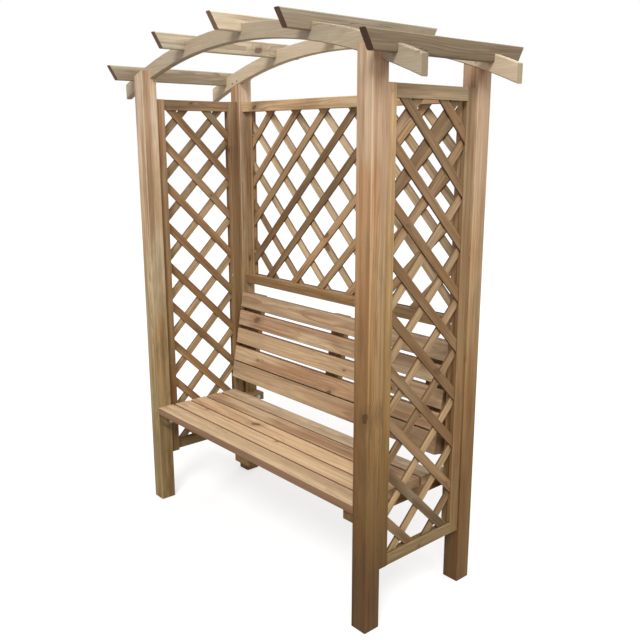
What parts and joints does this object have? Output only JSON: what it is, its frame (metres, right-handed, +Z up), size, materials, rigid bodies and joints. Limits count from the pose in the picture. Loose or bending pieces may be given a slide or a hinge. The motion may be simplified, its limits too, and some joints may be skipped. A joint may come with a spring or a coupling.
{
  "type": "arched pergola with bench",
  "caption": "Arched timber garden pergola with a slatted bench seat, leaning backrest, trellis sides and a trellis back.",
  "frame": {"origin": "on the ground, in the middle of the four posts", "axes": "+X to the sitter's left, seen from the open front to the right; +Y from the open front to the trellis back; +Z up"},
  "size_m": [1.764, 0.76, 2.134],
  "materials": {
    "post_wood": "planed pressure-treated softwood, tan with brown streaks",
    "arch_wood": "planed pressure-treated softwood, pale cream",
    "rafter_wood": "planed pressure-treated softwood, beige brown",
    "frame_wood": "planed pressure-treated softwood, greenish tan",
    "slat_wood": "sawn pressure-treated softwood slats, orange tan to dark brown",
    "board_wood": "planed pressure-treated softwood with rounded edges",
    "zinc_steel": "zinc-plated"
  },
  "bodies": {
    "root": {"post_front_left": "post_wood", "post_front_right": "post_wood", "post_rear_left": "post_wood", "post_rear_right": "post_wood", "arch_front": "arch_wood", "arch_rear": "arch_wood", "rafter_1": "rafter_wood", "rafter_2": "rafter_wood", "rafter_3": "rafter_wood", "rafter_4": "rafter_wood", "rafter_5": "rafter_wood", "left_panel_stile_front": "frame_wood", "left_panel_stile_rear": "frame_wood", "left_panel_rail_top": "frame_wood", "left_panel_rail_bottom": "frame_wood", "left_panel_slats_rising": "slat_wood", "left_panel_slats_falling": "slat_wood", "right_panel_stile_front": "frame_wood", "right_panel_stile_rear": "frame_wood", "right_panel_rail_top": "frame_wood", "right_panel_rail_bottom": "frame_wood", "right_panel_slats_rising": "slat_wood", "right_panel_slats_falling": "slat_wood", "back_panel_rail_top": "frame_wood", "back_panel_rail_bottom": "frame_wood", "back_panel_stile_left": "frame_wood", "back_panel_stile_right": "frame_wood", "back_panel_slats_rising": "slat_wood", "back_panel_slats_falling": "slat_wood", "seat_board_1": "board_wood", "seat_board_2": "board_wood", "seat_board_3": "board_wood", "seat_board_4": "board_wood", "seat_board_5": "board_wood", "seat_bearer_left": "board_wood", "seat_bearer_right": "board_wood", "seat_bearer_middle": "board_wood", "backrest_board_1": "board_wood", "backrest_board_2": "board_wood", "backrest_board_3": "board_wood", "backrest_board_4": "board_wood", "backrest_board_5": "board_wood", "backrest_cleat_left": "board_wood", "backrest_cleat_right": "board_wood", "backrest_cleat_middle": "board_wood", "seat_screws": "zinc_steel", "bearer_bolts": "zinc_steel", "backrest_screws": "zinc_steel", "cleat_screws": "zinc_steel", "arch_screws": "zinc_steel", "rafter_screws": "zinc_steel", "panel_screws": "zinc_steel", "frame_screws": "zinc_steel"}
  },
  "joints": []
}
